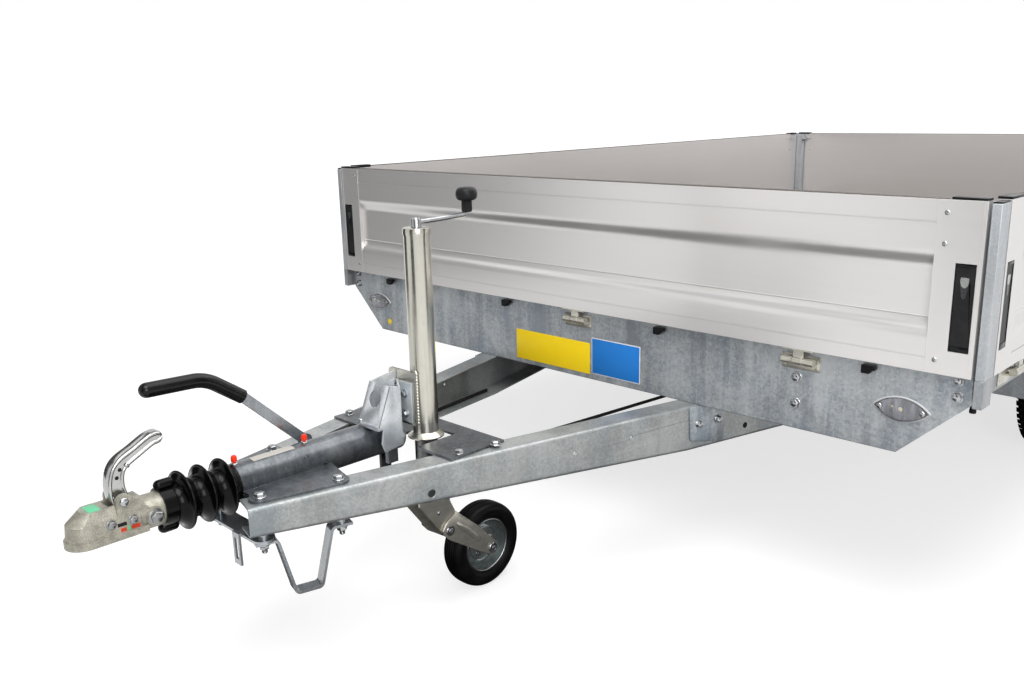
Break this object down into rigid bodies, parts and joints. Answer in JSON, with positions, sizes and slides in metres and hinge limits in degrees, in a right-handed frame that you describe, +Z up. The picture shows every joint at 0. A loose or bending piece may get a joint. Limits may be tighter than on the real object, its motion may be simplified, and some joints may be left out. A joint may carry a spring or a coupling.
{
  "type": "utility trailer",
  "caption": "Flat-bed utility trailer with fold-down aluminium boards, tandem wheels under the deck, V drawbar with overrun coupling, and a telescopic jockey wheel.",
  "frame": {"origin": "on the ground, at the middle of the width and of the whole length", "axes": "+Z up, -Y ahead towards the coupling, +X to the left of the trailer as it travels"},
  "size_m": [2.132, 4.55, 1.019],
  "materials": {
    "board_aluminium": "brushed",
    "latch_black": "satin",
    "hinge_steel": "plated",
    "black_plastic": "satin",
    "galvanised_steel": "galvanised",
    "floor_wood": "film-faced",
    "lamp_clear": "clear",
    "lamp_red": "gloss",
    "cable_black": "satin",
    "cast_head": "satin",
    "bright_zinc": "satin",
    "bellows_rubber": "gloss",
    "jockey_rubber": "matte",
    "rim_steel": "satin",
    "road_rubber": "matte"
  },
  "bodies": {
    "root": {"axle_front": "galvanised_steel", "axle_rear": "galvanised_steel", "bellows": "bellows_rubber", "brake_rod": "galvanised_steel", "chassis_rails": "galvanised_steel", "corner_posts": "galvanised_steel", "coupling_handle": "bright_zinc", "coupling_head": "cast_head", "crank_knob": "black_plastic", "cross_members": "galvanised_steel", "draw_tube": "bright_zinc", "drawbar_beam_left": "galvanised_steel", "drawbar_beam_right": "galvanised_steel", "drawbar_skid": "galvanised_steel", "floor": "floor_wood", "front_lamps": "lamp_clear", "front_panel": "galvanised_steel", "hand_grip": "black_plastic", "hand_lever": "galvanised_steel", "hinge_seats": "hinge_steel", "jockey_crank": "bright_zinc", "jockey_outer_tube": "bright_zinc", "mudguards": "black_plastic", "notch_holder": "galvanised_steel", "overrun_housing": "galvanised_steel", "rear_panel": "galvanised_steel", "rope_hooks": "black_plastic", "side_rail_left": "galvanised_steel", "side_rail_right": "galvanised_steel", "tail_lamps": "lamp_red", "tie_plate": "galvanised_steel", "wiring": "cable_black"},
    "front_dropside": {"front_board": "board_aluminium", "front_hinge_leaves": "hinge_steel", "front_latches": "latch_black"},
    "rear_dropside": {"rear_board": "board_aluminium", "rear_hinge_leaves": "hinge_steel", "rear_latches": "latch_black"},
    "left_dropside": {"left_board": "board_aluminium", "left_hinge_leaves": "hinge_steel", "left_latches": "latch_black"},
    "right_dropside": {"right_board": "board_aluminium", "right_hinge_leaves": "hinge_steel", "right_latches": "latch_black"},
    "front_left_wheel": {"rim_front_left": "rim_steel", "tyre_front_left": "road_rubber"},
    "front_right_wheel": {"rim_front_right": "rim_steel", "tyre_front_right": "road_rubber"},
    "rear_left_wheel": {"rim_rear_left": "rim_steel", "tyre_rear_left": "road_rubber"},
    "rear_right_wheel": {"rim_rear_right": "rim_steel", "tyre_rear_right": "road_rubber"},
    "jockey_leg": {"jockey_inner_tube": "bright_zinc"},
    "jockey_caster": {"jockey_fork": "bright_zinc"},
    "jockey_wheel": {"jockey_tyre": "jockey_rubber", "jockey_rim": "bright_zinc"}
  },
  "joints": [
    {"name": "front_dropside_fold", "type": "hinge", "parent": "root", "child": "front_dropside", "pos_m": [0, -0.8915, 0.6], "axis": [1, 0, 0], "range_deg": [0, 110]},
    {"name": "rear_dropside_fold", "type": "hinge", "parent": "root", "child": "rear_dropside", "pos_m": [0, 2.2645, 0.6], "axis": [-1, 0, 0], "range_deg": [0, 180]},
    {"name": "left_dropside_fold", "type": "hinge", "parent": "root", "child": "left_dropside", "pos_m": [1.0555, 0.6865, 0.6], "axis": [0, 1, 0], "range_deg": [0, 180]},
    {"name": "right_dropside_fold", "type": "hinge", "parent": "root", "child": "right_dropside", "pos_m": [-1.0555, 0.6865, 0.6], "axis": [0, -1, 0], "range_deg": [0, 180]},
    {"name": "front_left_wheel_spin", "type": "hinge", "parent": "root", "child": "front_left_wheel", "pos_m": [0.832, 0.682, 0.274], "axis": [1, 0, 0], "continuous": true},
    {"name": "front_right_wheel_spin", "type": "hinge", "parent": "root", "child": "front_right_wheel", "pos_m": [-0.832, 0.682, 0.274], "axis": [1, 0, 0], "continuous": true},
    {"name": "rear_left_wheel_spin", "type": "hinge", "parent": "root", "child": "rear_left_wheel", "pos_m": [0.832, 1.382, 0.274], "axis": [1, 0, 0], "continuous": true},
    {"name": "rear_right_wheel_spin", "type": "hinge", "parent": "root", "child": "rear_right_wheel", "pos_m": [-0.832, 1.382, 0.274], "axis": [1, 0, 0], "continuous": true},
    {"name": "jockey_slide", "type": "slide", "parent": "root", "child": "jockey_leg", "axis": [0, 0, 1], "range_m": [-0.15, 0.08]},
    {"name": "jockey_swivel", "type": "hinge", "parent": "jockey_leg", "child": "jockey_caster", "pos_m": [0.057, -1.482, 0.29], "axis": [0, 0, 1], "continuous": true},
    {"name": "jockey_wheel_spin", "type": "hinge", "parent": "jockey_caster", "child": "jockey_wheel", "pos_m": [0.057, -1.32, 0.108], "axis": [1, 0, 0], "continuous": true}
  ]
}
